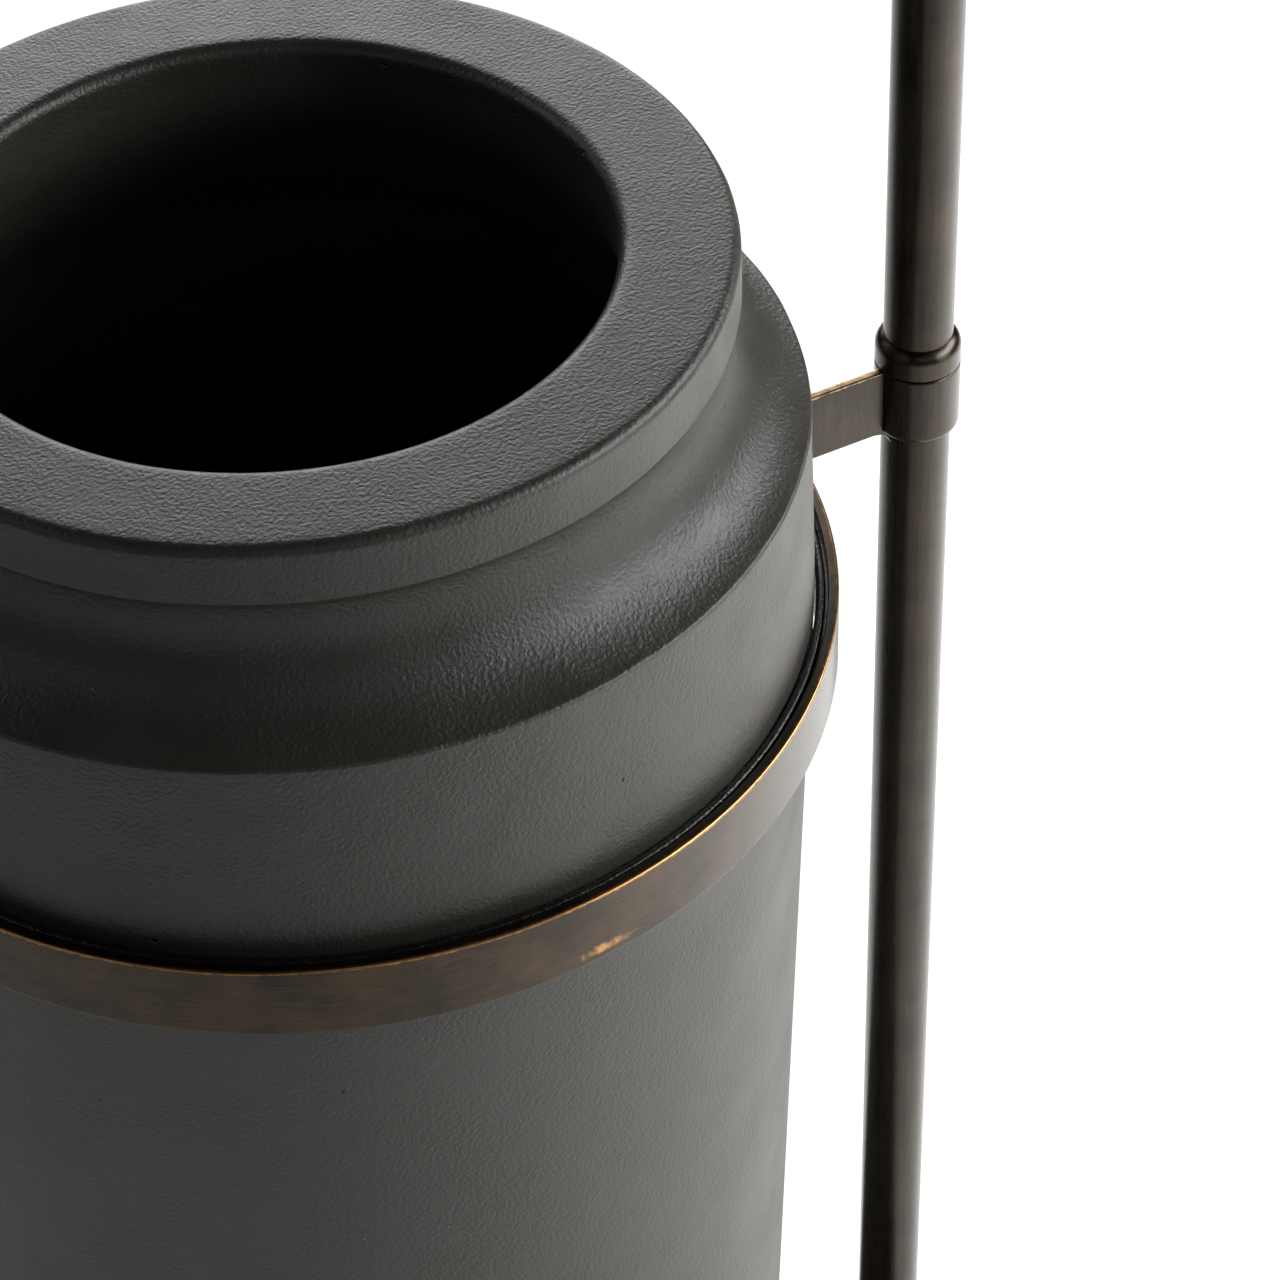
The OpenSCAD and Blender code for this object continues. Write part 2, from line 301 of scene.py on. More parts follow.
def cast_stone():
    """Cement and stone-dust composite, cast and left matte, with orange peel, specks and pinholes; the
    pinholes' near-black is painted shade inside the pits.
    """
    material, tree, shader, place = start_material("cast_stone_composite", IOR=1.5, Specular_IOR_Level=0.56)
    peel = add(tree, "ShaderNodeTexNoise",
               {"Vector": place, "Scale": 1 / (1.0 * mm), "Detail": 3.0, "Roughness": 0.5})
    grit = add(tree, "ShaderNodeTexNoise",
               {"Vector": place, "Scale": 1 / (0.7 * mm), "Detail": 2.0, "Roughness": 0.6})
    mould = add(tree, "ShaderNodeTexNoise",
                {"Vector": place, "Scale": 1 / (22 * mm), "Detail": 4.0, "Roughness": 0.6})
    cells = add(tree, "ShaderNodeTexVoronoi", {"Vector": place, "Scale": 1 / (11 * mm)})
    pick = add(tree, "ShaderNodeSeparateColor", {"Color": cells.outputs["Color"]})
    size = add(tree, "ShaderNodeMapRange",
               {"Value": pick.outputs["Red"], "From Min": 0.6, "From Max": 1.0,
                "To Min": 0.0, "To Max": 0.055})
    edge = add(tree, "ShaderNodeMath", {0: size.outputs[0], 1: 0.02}, operation="ADD")
    pin = add(tree, "ShaderNodeMapRange",
              {"Value": cells.outputs["Distance"], "From Min": size.outputs[0], "From Max": edge.outputs[0],
               "To Min": 1.0, "To Max": 0.0})
    there = add(tree, "ShaderNodeMath", {0: pick.outputs["Red"], 1: 0.62}, operation="GREATER_THAN")
    pinhole = add(tree, "ShaderNodeMath", {0: pin.outputs[0], 1: there.outputs[0]}, operation="MULTIPLY")

    dust_cells = add(tree, "ShaderNodeTexVoronoi", {"Vector": place, "Scale": 1 / (6 * mm)})
    dust_pick = add(tree, "ShaderNodeSeparateColor", {"Color": dust_cells.outputs["Color"]})
    dust_spot = add(tree, "ShaderNodeMath",
                    {0: dust_cells.outputs["Distance"], 1: 0.035}, operation="LESS_THAN")
    dust_there = add(tree, "ShaderNodeMath",
                     {0: dust_pick.outputs["Green"], 1: 0.7}, operation="GREATER_THAN")
    dust = add(tree, "ShaderNodeMath",
               {0: dust_spot.outputs[0], 1: dust_there.outputs[0]}, operation="MULTIPLY")

    body = add(tree, "ShaderNodeMix",
               {"Factor": mould.outputs["Fac"], 6: linear("#2a2925"), 7: linear("#35332e")},
               data_type="RGBA")
    sandy = add(tree, "ShaderNodeMix",
                {"Factor": grit.outputs["Fac"], 6: linear("#8c8c8c"), 7: linear("#c8c8c8")},
                data_type="RGBA")
    mixed = add(tree, "ShaderNodeMix",
                {"Factor": 0.16, 6: body.outputs[2], 7: sandy.outputs[2]},
                data_type="RGBA", blend_type="OVERLAY")
    specked = add(tree, "ShaderNodeMix",
                  {"Factor": dust.outputs[0], 6: mixed.outputs[2], 7: linear("#77746d")}, data_type="RGBA")
    # Pinholes get a near-black colour: painted shade inside the pits, on top of the bump that sinks them.
    pits_painted_shade = add(tree, "ShaderNodeMix",
                {"Factor": pinhole.outputs[0], 6: specked.outputs[2], 7: linear("#0c0c0b")},
                data_type="RGBA")
    tree.links.new(pits_painted_shade.outputs[2], shader.inputs["Base Color"])

    dull = add(tree, "ShaderNodeMapRange",
               {"Value": mould.outputs["Fac"], "From Min": 0.3, "From Max": 0.7,
                "To Min": 0.36, "To Max": 0.44})
    tree.links.new(dull.outputs[0], shader.inputs["Roughness"])

    sunk = add(tree, "ShaderNodeMath", {0: pinhole.outputs[0], 1: -3.0}, operation="MULTIPLY")
    grain = add(tree, "ShaderNodeMath", {0: grit.outputs["Fac"], 1: 0.3}, operation="MULTIPLY")
    patchy = add(tree, "ShaderNodeMapRange",
                 {"Value": mould.outputs["Fac"], "From Min": 0.35, "From Max": 0.65,
                  "To Min": 0.6, "To Max": 1.25})
    pebbled = add(tree, "ShaderNodeMath",
                  {0: peel.outputs["Fac"], 1: patchy.outputs[0]}, operation="MULTIPLY")
    relief = add(tree, "ShaderNodeMath", {0: pebbled.outputs[0], 1: sunk.outputs[0]}, operation="ADD")
    relief = add(tree, "ShaderNodeMath", {0: relief.outputs[0], 1: grain.outputs[0]}, operation="ADD")
    bump = add(tree, "ShaderNodeBump",
               {"Height": relief.outputs[0], "Strength": 1.0, "Distance": 0.24 * mm})
    tree.links.new(bump.outputs["Normal"], shader.inputs["Normal"])
    return material


def bronze(name, dark, light, streak, gold="#b98650"):
    """Brass bar or tube darkened with patina, brushed along its length and lacquered.

    dark and light are the patina's two tones, and streak the brush marks' length along X, Y and Z.
    The attribute rubbed tells where handling and the maker's cloth took it back to bright metal.
    """
    material, tree, shader, place = start_material(
        name, Metallic=1.0, Coat_Weight=0.55, Coat_Roughness=0.24)
    stretched = add(tree, "ShaderNodeMapping",
                    {"Vector": place, "Scale": [1 / length for length in streak]})
    brush = add(tree, "ShaderNodeTexNoise",
                {"Vector": stretched.outputs[0], "Scale": 1.0, "Detail": 4.0, "Roughness": 0.7})
    cloud = add(tree, "ShaderNodeTexNoise",
                {"Vector": place, "Scale": 1 / (14 * mm), "Detail": 5.0, "Roughness": 0.6})
    both = add(tree, "ShaderNodeMath", {0: brush.outputs["Fac"], 1: cloud.outputs["Fac"]}, operation="ADD")
    tone = add(tree, "ShaderNodeMapRange", {"Value": both.outputs[0], "From Min": 0.75, "From Max": 1.25})
    patina = add(tree, "ShaderNodeMix",
                 {"Factor": tone.outputs[0], 6: linear(dark), 7: linear(light)}, data_type="RGBA")

    rubbed = add(tree, "ShaderNodeAttribute", attribute_name="rubbed")
    nibble = add(tree, "ShaderNodeTexNoise",
                 {"Vector": place, "Scale": 1 / (2.2 * mm), "Detail": 4.0, "Roughness": 0.7})
    worn = add(tree, "ShaderNodeMath",
               {0: rubbed.outputs["Fac"], 1: nibble.outputs["Fac"]}, operation="ADD")
    worn = add(tree, "ShaderNodeMapRange", {"Value": worn.outputs[0], "From Min": 0.8, "From Max": 1.15})
    colour = add(tree, "ShaderNodeMix",
                 {"Factor": worn.outputs[0], 6: patina.outputs[2], 7: linear(gold)}, data_type="RGBA")
    tree.links.new(colour.outputs[2], shader.inputs["Base Color"])

    haze = add(tree, "ShaderNodeMapRange",
               {"Value": brush.outputs["Fac"], "From Min": 0.3, "From Max": 0.7,
                "To Min": 0.24, "To Max": 0.34})
    sheen = add(tree, "ShaderNodeMix",
                {"Factor": worn.outputs[0], "A": haze.outputs[0], "B": 0.26}, data_type="FLOAT")
    tree.links.new(sheen.outputs[0], shader.inputs["Roughness"])
    bump = add(tree, "ShaderNodeBump",
               {"Height": brush.outputs["Fac"], "Strength": 0.5, "Distance": 0.02 * mm})
    tree.links.new(bump.outputs["Normal"], shader.inputs["Normal"])
    return material


def powder_coat():
    """Steel plate under a dark bronze powder coat: an even satin with a fine leathery grain."""
    material, tree, shader, place = start_material("bronze_powder_coat", Metallic=0.25, IOR=1.5)
    grain = add(tree, "ShaderNodeTexNoise",
                {"Vector": place, "Scale": 1 / (1.4 * mm), "Detail": 3.0, "Roughness": 0.5})
    drift = add(tree, "ShaderNodeTexNoise",
                {"Vector": place, "Scale": 1 / (40 * mm), "Detail": 4.0, "Roughness": 0.6})
    colour = add(tree, "ShaderNodeMix",
                 {"Factor": drift.outputs["Fac"], 6: linear("#2b241e"), 7: linear("#3b332b")},
                 data_type="RGBA")
    tree.links.new(colour.outputs[2], shader.inputs["Base Color"])
    satin = add(tree, "ShaderNodeMapRange", {"Value": grain.outputs["Fac"], "To Min": 0.36, "To Max": 0.52})
    tree.links.new(satin.outputs[0], shader.inputs["Roughness"])
    bump = add(tree, "ShaderNodeBump",
               {"Height": grain.outputs["Fac"], "Strength": 0.6, "Distance": 0.05 * mm})
    tree.links.new(bump.outputs["Normal"], shader.inputs["Normal"])
    return material


def gloss_rubber():
    """Black rubber cord pressed into the gap and wiped with silicone: glossy, with dust in it."""
    material, tree, shader, place = start_material("glossy_black_rubber", IOR=1.5)
    dust = add(tree, "ShaderNodeTexNoise",
               {"Vector": place, "Scale": 1 / (1.1 * mm), "Detail": 3.0, "Roughness": 0.7})
    film = add(tree, "ShaderNodeMapRange",
               {"Value": dust.outputs["Fac"], "From Min": 0.55, "From Max": 0.75})
    colour = add(tree, "ShaderNodeMix",
                 {"Factor": film.outputs[0], 6: linear("#0b0b0b"), 7: linear("#2c2a27")}, data_type="RGBA")
    tree.links.new(colour.outputs[2], shader.inputs["Base Color"])
    gloss = add(tree, "ShaderNodeMapRange", {"Value": dust.outputs["Fac"], "To Min": 0.08, "To Max": 0.3})
    tree.links.new(gloss.outputs[0], shader.inputs["Roughness"])
    bump = add(tree, "ShaderNodeBump",
               {"Height": dust.outputs["Fac"], "Strength": 1.0, "Distance": 0.25 * mm})
    tree.links.new(bump.outputs["Normal"], shader.inputs["Normal"])
    return material


def moulded_rubber():
    """Black rubber, moulded matte: a soft even black with a fine grain."""
    material, tree, shader, place = start_material("moulded_black_rubber", IOR=1.5)
    grain = add(tree, "ShaderNodeTexNoise",
                {"Vector": place, "Scale": 1 / (0.8 * mm), "Detail": 3.0, "Roughness": 0.6})
    colour = add(tree, "ShaderNodeMix",
                 {"Factor": grain.outputs["Fac"], 6: linear("#161616"), 7: linear("#242322")},
                 data_type="RGBA")
    tree.links.new(colour.outputs[2], shader.inputs["Base Color"])
    matte = add(tree, "ShaderNodeMapRange", {"Value": grain.outputs["Fac"], "To Min": 0.62, "To Max": 0.82})
    tree.links.new(matte.outputs[0], shader.inputs["Roughness"])
    bump = add(tree, "ShaderNodeBump",
               {"Height": grain.outputs["Fac"], "Strength": 0.5, "Distance": 0.06 * mm})
    tree.links.new(bump.outputs["Normal"], shader.inputs["Normal"])
    return material


def turned_brass():
    """Plain brass turned on a lathe: bright, with fine rings across its axis."""
    material, tree, shader, place = start_material("turned_brass", Metallic=1.0)
    rings = add(tree, "ShaderNodeMapping", {"Vector": place, "Scale": (20, 20, 1 / (0.3 * mm))})
    tool = add(tree, "ShaderNodeTexNoise", {"Vector": rings.outputs[0], "Scale": 1.0, "Detail": 2.0})
    colour = add(tree, "ShaderNodeMix",
                 {"Factor": tool.outputs["Fac"], 6: linear("#a98f55"), 7: linear("#c9b077")},
                 data_type="RGBA")
    tree.links.new(colour.outputs[2], shader.inputs["Base Color"])
    shine = add(tree, "ShaderNodeMapRange", {"Value": tool.outputs["Fac"], "To Min": 0.2, "To Max": 0.4})
    tree.links.new(shine.outputs[0], shader.inputs["Roughness"])
    return material


def zinc_plate():
    """Steel screws and washers, zinc plated: a cool grey satin with faint blotches."""
    material, tree, shader, place = start_material("zinc_plated_steel", Metallic=1.0)
    blotch = add(tree, "ShaderNodeTexNoise", {"Vector": place, "Scale": 1 / (2 * mm), "Detail": 4.0})
    colour = add(tree, "ShaderNodeMix",
                 {"Factor": blotch.outputs["Fac"], 6: linear("#8f9296"), 7: linear("#b9bcbf")},
                 data_type="RGBA")
    tree.links.new(colour.outputs[2], shader.inputs["Base Color"])
    shine = add(tree, "ShaderNodeMapRange",
                {"Value": blotch.outputs["Fac"], "To Min": 0.28, "To Max": 0.48})
    tree.links.new(shine.outputs[0], shader.inputs["Roughness"])
    return material


def black_enamel():
    """Sheet steel under a thin black stoving enamel: satin, with ash-grey scuffs."""
    material, tree, shader, place = start_material("black_stoving_enamel", IOR=1.5)
    scuff = add(tree, "ShaderNodeTexNoise",
                {"Vector": place, "Scale": 1 / (9 * mm), "Detail": 6.0, "Roughness": 0.7})
    grain = add(tree, "ShaderNodeTexNoise", {"Vector": place, "Scale": 1 / (1 * mm), "Detail": 2.0})
    rubbed = add(tree, "ShaderNodeMapRange",
                 {"Value": scuff.outputs["Fac"], "From Min": 0.5, "From Max": 0.8})
    colour = add(tree, "ShaderNodeMix",
                 {"Factor": rubbed.outputs[0], 6: linear("#141414"), 7: linear("#2b2a28")},
                 data_type="RGBA")
    tree.links.new(colour.outputs[2], shader.inputs["Base Color"])
    satin = add(tree, "ShaderNodeMapRange", {"Value": scuff.outputs["Fac"], "To Min": 0.4, "To Max": 0.65})
    tree.links.new(satin.outputs[0], shader.inputs["Roughness"])
    bump = add(tree, "ShaderNodeBump",
               {"Height": grain.outputs["Fac"], "Strength": 0.3, "Distance": 0.04 * mm})
    tree.links.new(bump.outputs["Normal"], shader.inputs["Normal"])
    return material


def drawn_wire():
    """Drawn steel wire, plated: fine lines along the wire on a bright grey."""
    material, tree, shader, place = start_material("drawn_steel_wire", Metallic=1.0)
    lines = add(tree, "ShaderNodeTexNoise", {"Vector": place, "Scale": 1 / (0.7 * mm), "Detail": 3.0})
    colour = add(tree, "ShaderNodeMix",
                 {"Factor": lines.outputs["Fac"], 6: linear("#808285"), 7: linear("#a6a8ab")},
                 data_type="RGBA")
    tree.links.new(colour.outputs[2], shader.inputs["Base Color"])
    shine = add(tree, "ShaderNodeMapRange", {"Value": lines.outputs["Fac"], "To Min": 0.22, "To Max": 0.42})
    tree.links.new(shine.outputs[0], shader.inputs["Roughness"])
    return material


def studio_floor():
    """Matte white paper sweep."""
    material, tree, shader, place = start_material("white_paper_sweep", Roughness=0.9)
    fibre = add(tree, "ShaderNodeTexNoise", {"Vector": place, "Scale": 1 / (30 * mm), "Detail": 3.0})
    colour = add(tree, "ShaderNodeMix",
                 {"Factor": fibre.outputs["Fac"], 6: linear("#e6e6e4"), 7: linear("#eaeae8")},
                 data_type="RGBA")
    tree.links.new(colour.outputs[2], shader.inputs["Base Color"])
    return material


# ---------------------------------------------------------------- vessel
lip_r = 102.5 * mm
lip_h = 14.5 * mm
shoulder_z = hoop_top + 52 * mm
shoulder_r = 118.2 * mm
cove_r = 24 * mm
mouth_r = 76 * mm
wall = 20 * mm
foot_r = 105.5 * mm


def side_radius(z):
    """The casting's outer radius: a straight taper up to the hoop, then a slow curve in to the shoulder."""
    below = girth_r + (foot_r - girth_r) * (hoop_top - z) / (hoop_top - vessel_bottom)
    rise = np.clip((z - hoop_top) / (shoulder_z - hoop_top), 0, 1)
    above = girth_r + (shoulder_r - girth_r) * rise ** 1.3
    return np.where(z > hoop_top, above, below)


def vessel_outline():
    """Up the tapered side, in along the cove, over the lip, and down the bore to the inner floor."""
    shoulder, lip_foot = np.array([shoulder_r, shoulder_z]), np.array([lip_r - 0.4 * mm, rim - lip_h])
    chord = lip_foot - shoulder
    bulge = math.sqrt(cove_r ** 2 - chord @ chord / 4)
    centre = (shoulder + lip_foot) / 2 + bulge * unit(np.array([chord[1], -chord[0]]))
    start, end = (math.degrees(math.atan2(*(p - centre)[::-1])) % 360 for p in (shoulder, lip_foot))
    cove = arc(centre, cove_r, start, end, 48)
    band_z = np.linspace(hoop_top - 60 * mm, shoulder_z, 60)
    band = np.column_stack([side_radius(band_z), band_z])
    arris = eased_corner(band[-5], band[-1], cove[3], 1.1 * mm, 9)
    keep_band = band[band[:, 1] < arris[:, 1].min()]
    keep_cove = cove[cove[:, 1] > arris[:, 1].max() + 0.2 * mm][:-2]
    foot = eased([(0, vessel_bottom, 0), (foot_r, vessel_bottom, 8 * mm), (*band[0], 0)], False, 10)
    lip = eased([
        (*keep_cove[-1], 0),
        (lip_r, rim - lip_h, 0.7 * mm),
        (lip_r, rim, 2.6 * mm),
        (mouth_r, rim, 3.2 * mm),
        (mouth_r, rim - 18 * mm, 30 * mm),
        (side_radius(rim - 60 * mm) - wall, rim - 60 * mm, 24 * mm),
        (side_radius(hoop_top) - wall, hoop_top - 20 * mm, 0),
        (side_radius(seat_bottom) - wall, seat_bottom, 10 * mm),
        (0, seat_bottom, 0)], False, 10)
    outline = np.vstack([foot[:-1], keep_band, arris, keep_cove, lip[1:]])
    upper = outline[:, 1] > hoop_top - 62 * mm
    first, last = np.flatnonzero(upper)[[0, -1]]
    return np.vstack([
        filled(outline[:first + 1], 12 * mm, False)[:-1],
        filled(outline[first:last + 1], 2.2 * mm, False),
        filled(outline[last:], 14 * mm, False)[1:]])


def make_vessel():
    """The casting. Its surface leaves the true form by up to 0.2 mm, as hand-finished castings do."""
    grid = revolve(vessel_outline(), 384)
    x, y, z = grid[..., 0], grid[..., 1], grid[..., 2]
    wave = 0.11 * mm * ripple(x, y, z, 45 * mm, 3) + 0.05 * mm * ripple(x, y, z, 17 * mm, 8)
    shown = np.clip((z - hoop_top + 5 * mm) / (5 * mm), 0, 1) * np.clip((rim - z) / (3 * mm), 0.4, 1)
    radius = np.hypot(x, y)
    push = 1 + wave * shown / np.maximum(radius, 20 * mm)
    grid = np.stack([x * push, y * push, z], -1)
    return make_piece("vessel_casting", [skin(grid, False)], cast_stone(), sharp=50)


# ---------------------------------------------------------------- hoop, arm and post
def make_hoop(metal):
    """Flat bar rolled into a ring: a rectangle with eased edges turned about the vessel's axis.

    Low on the front, at 84 degrees from +X towards -Y, a knock took the patina off.
    """
    outline = filled(eased([
        (hoop_bore, hoop_bottom, 0.3 * mm),
        (hoop_r, hoop_bottom, 0.5 * mm),
        (hoop_r, hoop_top, 0.55 * mm),
        (hoop_bore, hoop_top, 0.3 * mm)], True), 0.6 * mm, True)
    hoop = make_piece("hoop_bar", [skin(revolve(outline, 512), True)], metal, sharp=60)
    x, y, z = places_of(hoop)
    r = np.hypot(x, y)
    top = near_edge(np.hypot(hoop_r - 0.2 * mm - r, hoop_top - 0.2 * mm - z), 1.0 * mm)
    low = near_edge(np.hypot(hoop_r - 0.15 * mm - r, z - hoop_bottom), 0.8 * mm)
    knock = np.exp(-((np.degrees(np.arctan2(y, x)) + 84) / 4) ** 2)
    patch = near_edge(np.hypot(hoop_r - r, z - hoop_bottom - 3 * mm), 3 * mm)
    rub(hoop, 0.75 * top + 0.42 * low + 0.6 * knock * patch)
    return hoop


def make_arm(metal):
    """Flat bar on edge from hoop to sleeve, with eased edges and a small braze fillet at each end.

    At the sleeve the braze also runs down under the bar, on to the post.
    """
    section = eased([
        (-bar_t / 2, hoop_bottom, 0.4 * mm),
        (bar_t / 2, hoop_bottom, 0.4 * mm),
        (bar_t / 2, hoop_top, 0.5 * mm),
        (-bar_t / 2, hoop_top, 0.5 * mm)], True)
    section = filled(section, 0.6 * mm, True)
    start, end = hoop_r - 0.4 * mm, post_x - post_r - 0.1 * mm
    fillet = 1.6 * mm
    length = end - start
    s = np.concatenate([np.linspace(0, fillet, 7), np.linspace(fillet, length - fillet, 14)[1:-1],
                        np.linspace(length - fillet, length, 7)])
    gap = np.clip(fillet - np.minimum(s, length - s), 0, fillet)
    flare = fillet - np.sqrt(fillet ** 2 - gap ** 2)
    side = np.sign(section[:, 0])
    y = section[:, 0] + flare[:, None] * side
    x = np.broadcast_to((start + s)[:, None], y.shape)
    run = 4.2 * mm
    under = np.clip(run - (length - s), 0, run)
    sag = 0.6 * (run - np.sqrt(run ** 2 - under ** 2))
    low_edge = np.clip(1 - (section[:, 1] - hoop_bottom) / (3 * mm), 0, 1)
    z = section[:, 1] - sag[:, None] * low_edge
    arm = make_piece("arm_bar", [skin(capped(np.stack([x, y, z], -1)), False)], metal, sharp=60)
    level = places_of(arm)[2]
    rub(arm, 0.58 * near_edge(hoop_top - level, 0.9 * mm) + 0.2 * near_edge(level - hoop_bottom, 0.8 * mm))
    return arm


def make_sleeve(metal):
    """The tube that the arm is brazed to: turned about the post, with its lower edge rounded over."""
    outline = filled(eased([
        (post_r + fit, hoop_bottom, 0.5 * mm),
        (sleeve_r, hoop_bottom, 1.4 * mm),
        (sleeve_r, hoop_top, 0.5 * mm),
        (post_r + fit, hoop_top, 0.3 * mm)], True), 1.2 * mm, True)
    sleeve = make_piece("sleeve_tube", [skin(revolve(outline, 128, post_x), True)], metal)
    drill(sleeve, [screw_bore("sleeve_screw")])
    x, y, z = places_of(sleeve)
    r = np.hypot(x - post_x, y)
    top = near_edge(np.hypot(sleeve_r - r, hoop_top - z), 1.0 * mm)
    low = near_edge(np.hypot(sleeve_r - 0.5 * mm - r, z - hoop_bottom), 1.6 * mm)
    rub(sleeve, 0.33 * top + 0.1 * low)
    return sleeve


def screw_bore(screw):
    """The bore that a grub screw sits in, from the post's skin to outside the sleeve."""
    low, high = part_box(screw)
    radius = (high.z - low.z) / 2 + fit
    z = (high.z + low.z) / 2
    return rod(radius, (post_x + 2 * mm, 0, z), (post_x + sleeve_r + 2 * mm, 0, z))


def make_collar(metal):
    """Stop collar above the sleeve: a ring whose upper edge rolls over to the post as a bull nose."""
    bottom, top = heights("stop_collar")
    nose = 2 * tube_wall
    roll_end = math.degrees(math.acos((post_r + fit - sleeve_r + nose) / nose))
    start, middle = (post_r + fit, bottom), (sleeve_r, bottom + 4 * mm)
    outline = np.vstack([
        [start],
        eased([(*start, 0), (sleeve_r, bottom, 0.4 * mm), (*middle, 0)], False)[1:-1],
        arc((sleeve_r - nose, bottom + 8.5 * mm - nose), nose, 0, roll_end, 18)])
    outline = filled(outline, 1.2 * mm, True)
    collar = make_piece("collar_ring", [skin(revolve(outline, 128, post_x), True)], metal)
    drill(collar, [screw_bore("collar_screw")])
    x, y, z = places_of(collar)
    r = np.hypot(x - post_x, y)
    low = near_edge(np.hypot(sleeve_r - r, z - bottom), 0.9 * mm)
    nosed = near_edge(np.abs(z - top + 0.6 * mm), 1.6 * mm)
    rub(collar, 0.1 * low + 0.1 * nosed)
    return collar


def make_post(metal):
    """Tube from the base plate to the cap."""
    bottom, top = heights("post")
    bore = post_r - tube_wall
    outline = filled(eased([
        (bore, bottom, 0.3 * mm),
        (post_r, bottom, 0.4 * mm),
        (post_r, top, 0.4 * mm),
        (bore, top, 0.3 * mm)], True), 20 * mm, True)
    post = make_piece("post_tube", [skin(revolve(outline, 128, post_x), True)], metal)
    z = places_of(post)[2]
    rub(post, 0.3 * near_edge(top - z, 6 * mm))
    return post


def make_flange(metal):
    """Round foot of the post, with a rounded shoulder and a small collar of braze at the tube."""
    bottom, top = heights("post_flange")
    outer = half_width("post_flange")
    outline = filled(eased([
        (post_r + fit, bottom, 0),
        (outer, bottom, 0.6 * mm),
        (outer, top, 5 * mm),
        (post_r + 2 * mm, top, 0.8 * mm),
        (post_r + fit, top - 0.3 * mm, 0)], True, 12), 1.5 * mm, True)
    flange = make_piece("flange_foot", [skin(revolve(outline, 160, post_x), True)], metal)
    x, y, z = places_of(flange)
    r = np.hypot(x - post_x, y)
    rub(flange, 0.45 * near_edge(np.hypot(outer - 1.5 * mm - r, top - 1.5 * mm - z), 3 * mm))
    return flange


def make_finial(metal):
    """Cap of the post: a low rounded button on a shank that goes down into the tube."""
    bottom, top = heights("finial")
    face = heights("post")[1]
    outline = filled(eased([
        (0, bottom, 0),
        (4 * mm, bottom, 0.5 * mm),
        (4 * mm, face, 0),
        (sleeve_r, face, 0.5 * mm),
        (sleeve_r, top, 4.5 * mm),
        (0, top, 0)], False, 12), 1.5 * mm, False)
    finial = make_piece("finial_cap", [skin(revolve(outline, 128, post_x), False)], metal)
    z = places_of(finial)[2]
    rub(finial, 0.4 * near_edge(np.abs(z - top + 2 * mm), 2.5 * mm))
    return finial


def make_gasket():
    """Black cord that fills the gap: a round bead against the vessel, and a low web out to the hoop."""
    inner = girth_r + 0.3 * mm
    outer = hoop_bore - fit
    bottom, top = heights("gasket")
    bead = 1.1 * mm
    web = top - 2.3 * mm
    outline = filled(np.vstack([
        [(inner + 0.3 * mm, bottom), (outer, bottom), (outer, web), (inner + 2 * bead, web)],
        arc((inner + bead, top - bead), bead, -25, 180, 16),
        [(inner, bottom + 2 * mm)]]), 1.5 * mm, True)
    return make_piece("gasket_cord", [skin(revolve(outline, 512), True)], gloss_rubber())


# ---------------------------------------------------------------- base
def make_base_plate():
    """Round steel plate with an eased rim, and underneath, the recess and the bolt hole of the post's
    fixing.
    """
    outline = filled(eased([
        (0, plate_bottom, 0),
        (plate_r, plate_bottom, 0.8 * mm),
        (plate_r, plate_top, 2 * mm),
        (0, plate_top, 0)], False, 9), 25 * mm, False)
    plate = make_piece("base_disc", [skin(revolve(outline, 288), False)], powder_coat())
    recess_top = heights("post_washer")[1]
    recess_r = half_width("post_washer") + 1 * mm
    bolt_r = 5.5 * mm
    drill(plate, [rod(recess_r, (post_x, 0, plate_bottom - 2 * mm), (post_x, 0, recess_top), 96)])
    drill(plate, [rod(bolt_r, (post_x, 0, plate_bottom - 1 * mm), (post_x, 0, plate_top + 2 * mm))])
    return plate


def foot_places():
    """Centres of the four feet, on a circle 30 mm inside the plate's rim."""
    angles = np.radians([45, 135, 225, 315])
    circle = plate_r - 30 * mm
    return np.column_stack([circle * np.cos(angles), circle * np.sin(angles)])


def make_feet(rubber):
    """Four rubber buttons, each with a rounded tread and a recess for its screw's head."""
    radius = 17 * mm
    outline = filled(eased([
        (5.2 * mm, 0, 0.5 * mm),
        (radius, 0, 1.6 * mm),
        (radius - 0.4 * mm, plate_bottom, 0.3 * mm),
        (2.55 * mm, plate_bottom, 0),
        (2.55 * mm, 3.6 * mm, 0),
        (5.2 * mm, 3.6 * mm, 0)], True), 2 * mm, True)
    skins = [skin(revolve(outline, 72, x, y), True) for x, y in foot_places()]
    return make_piece("rubber_feet", skins, rubber)


def make_base_mat(rubber):
    """Thin rubber disc between plate and vessel."""
    radius = half_width("base_mat")
    outline = filled(eased([
        (0, plate_top, 0), (radius, plate_top, 0.4 * mm), (radius, vessel_bottom, 0.8 * mm),
        (0, vessel_bottom, 0)], False), 12 * mm, False)
    return make_piece("mat_disc", [skin(revolve(outline, 192), False)], rubber)


# ---------------------------------------------------------------- liner
def make_liner_seat(rubber):
    """Rubber pan under the liner: a disc with a raised ring that keeps the liner in the middle."""
    radius = half_width("liner_seat")
    floor = liner_bottom
    outline = filled(eased([
        (0, seat_bottom, 0),
        (radius, seat_bottom, 0.8 * mm),
        (radius, floor, 0.5 * mm),
        (radius - 1 * mm, floor, 0.3 * mm),
        (radius - 1.6 * mm, seat_top, 0.9 * mm),
        (radius - 6.6 * mm, seat_top, 0.9 * mm),
        (radius - 7 * mm, floor, 0.5 * mm),
        (0, floor, 0)], False), 8 * mm, False)
    return make_piece("seat_pan", [skin(revolve(outline, 192), False)], rubber)


